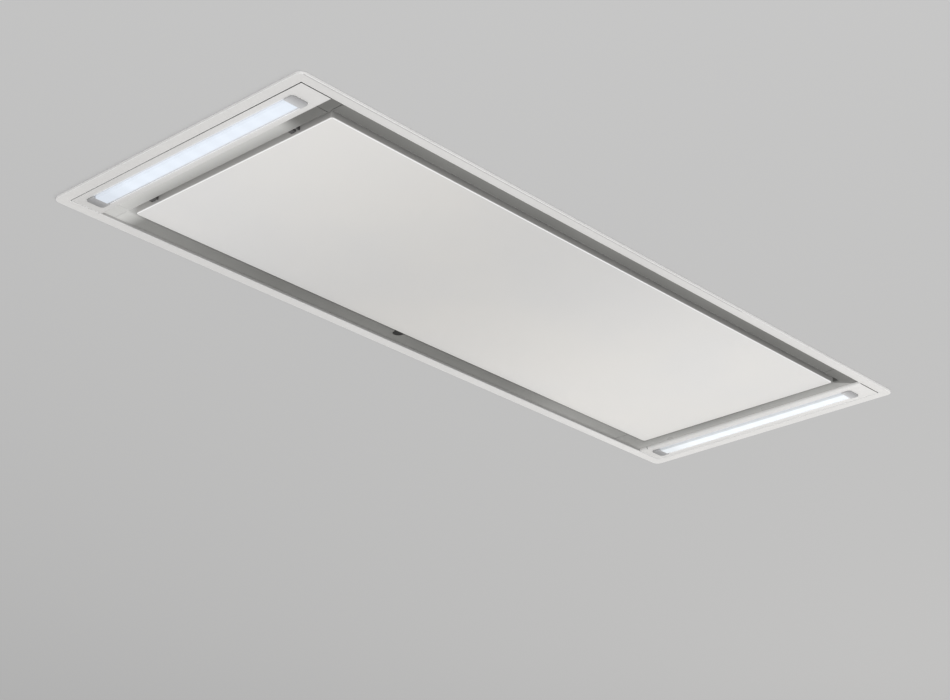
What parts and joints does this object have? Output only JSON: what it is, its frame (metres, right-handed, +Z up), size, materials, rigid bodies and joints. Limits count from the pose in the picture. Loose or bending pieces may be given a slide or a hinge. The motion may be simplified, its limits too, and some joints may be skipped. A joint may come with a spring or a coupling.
{
  "type": "ceiling range hood",
  "caption": "Built-in ceiling range hood with a swinging perimeter-suction panel, a light strip at each end, filters, a twin-inlet fan and a top outlet collar with flaps.",
  "frame": {"origin": "centre of the cabinet cut-out, in the plane of the flange's upper face, which bears on the underside of the cabinet board", "axes": "+X along the hood to its right end seen from the room, +Y back to the wall, +Z up into the cabinet"},
  "size_m": [0.864, 0.34, 0.3214],
  "materials": {
    "white_paint": "smooth satin powder coat",
    "grey_paint": "smooth satin grey coat",
    "galvanised_steel": "dull galvanised sheet",
    "mill_aluminium": "plain extruded",
    "mesh_aluminium": "pleated expanded mesh",
    "frosted_plastic": "frosted, lit from behind",
    "grey_plastic": "moulded",
    "circuit_board": "circuit board with its components",
    "dark_plastic": "moulded",
    "white_plastic": "moulded",
    "black_plastic": "moulded",
    "bright_steel": "bright ground steel",
    "zinc_screws": "zinc plated",
    "rubber": "moulded",
    "motor_paint": "pressed steel can"
  },
  "bodies": {
    "casing": {"blower_brackets": "galvanised_steel", "blower_screws": "zinc_screws", "box_flange": "galvanised_steel", "cable_gland": "grey_plastic", "capacitor": "white_plastic", "capacitor_clip": "galvanised_steel", "casing_screws": "zinc_screws", "catch_clips": "dark_plastic", "channel_back": "grey_paint", "channel_front": "grey_paint", "channel_left": "grey_paint", "channel_right": "grey_paint", "clamp_brackets": "galvanised_steel", "control_board": "circuit_board", "control_box": "grey_plastic", "control_box_lid": "grey_plastic", "filter_frame_left": "mill_aluminium", "filter_frame_right": "mill_aluminium", "filter_mesh_left": "mesh_aluminium", "filter_mesh_right": "mesh_aluminium", "filter_tray": "galvanised_steel", "flap_rods": "bright_steel", "hinge_blocks": "dark_plastic", "hinge_pins": "bright_steel", "led_board_left": "circuit_board", "led_board_right": "circuit_board", "led_driver": "white_plastic", "lid_screws": "zinc_screws", "light_caps_left": "grey_plastic", "light_caps_right": "grey_plastic", "light_diffuser_left": "frosted_plastic", "light_diffuser_right": "frosted_plastic", "light_housing_left": "galvanised_steel", "light_housing_right": "galvanised_steel", "light_plate_left": "white_paint", "light_plate_right": "white_paint", "light_profile_left": "mill_aluminium", "light_profile_right": "mill_aluminium", "lower_casing": "galvanised_steel", "motor": "motor_paint", "motor_box": "galvanised_steel", "motor_bracket": "galvanised_steel", "outlet_spigot": "black_plastic", "panel_bumper": "rubber", "scroll_left": "dark_plastic", "scroll_right": "dark_plastic", "terminal_block": "dark_plastic", "trim_frame": "white_paint", "trim_screws": "zinc_screws"},
    "panel": {"suction_panel": "white_paint", "panel_liner": "galvanised_steel", "panel_lugs": "galvanised_steel", "catch_pins": "bright_steel"},
    "fan": {"impeller": "dark_plastic", "fan_shaft": "bright_steel", "shaft_nut": "bright_steel"},
    "flap_front": {"outlet_flap_front": "dark_plastic"},
    "flap_back": {"outlet_flap_back": "dark_plastic"},
    "latch_left": {"filter_latch_left": "dark_plastic"},
    "latch_right": {"filter_latch_right": "dark_plastic"}
  },
  "joints": [
    {"name": "panel_swing", "type": "hinge", "parent": "casing", "child": "panel", "pos_m": [0, 0.098, 0.004], "axis": [1, 0, 0], "range_deg": [0, 90]},
    {"name": "fan_spin", "type": "hinge", "parent": "casing", "child": "fan", "pos_m": [0, 0.035, 0.168], "axis": [1, 0, 0], "continuous": true},
    {"name": "flap_back_swing", "type": "hinge", "parent": "casing", "child": "flap_back", "pos_m": [0, -0.0265, 0.284], "axis": [1, 0, 0], "range_deg": [0, 75]},
    {"name": "flap_front_swing", "type": "hinge", "parent": "casing", "child": "flap_front", "pos_m": [0, -0.0345, 0.284], "axis": [-1, 0, 0], "range_deg": [0, 75]},
    {"name": "latch_left_slide", "type": "slide", "parent": "casing", "child": "latch_left", "axis": [0, 1, 0], "range_m": [0, 0.006], "stiffness_N_per_m": 300, "springref_m": -0.003},
    {"name": "latch_right_slide", "type": "slide", "parent": "casing", "child": "latch_right", "axis": [0, 1, 0], "range_m": [0, 0.006], "stiffness_N_per_m": 300, "springref_m": -0.003}
  ]
}
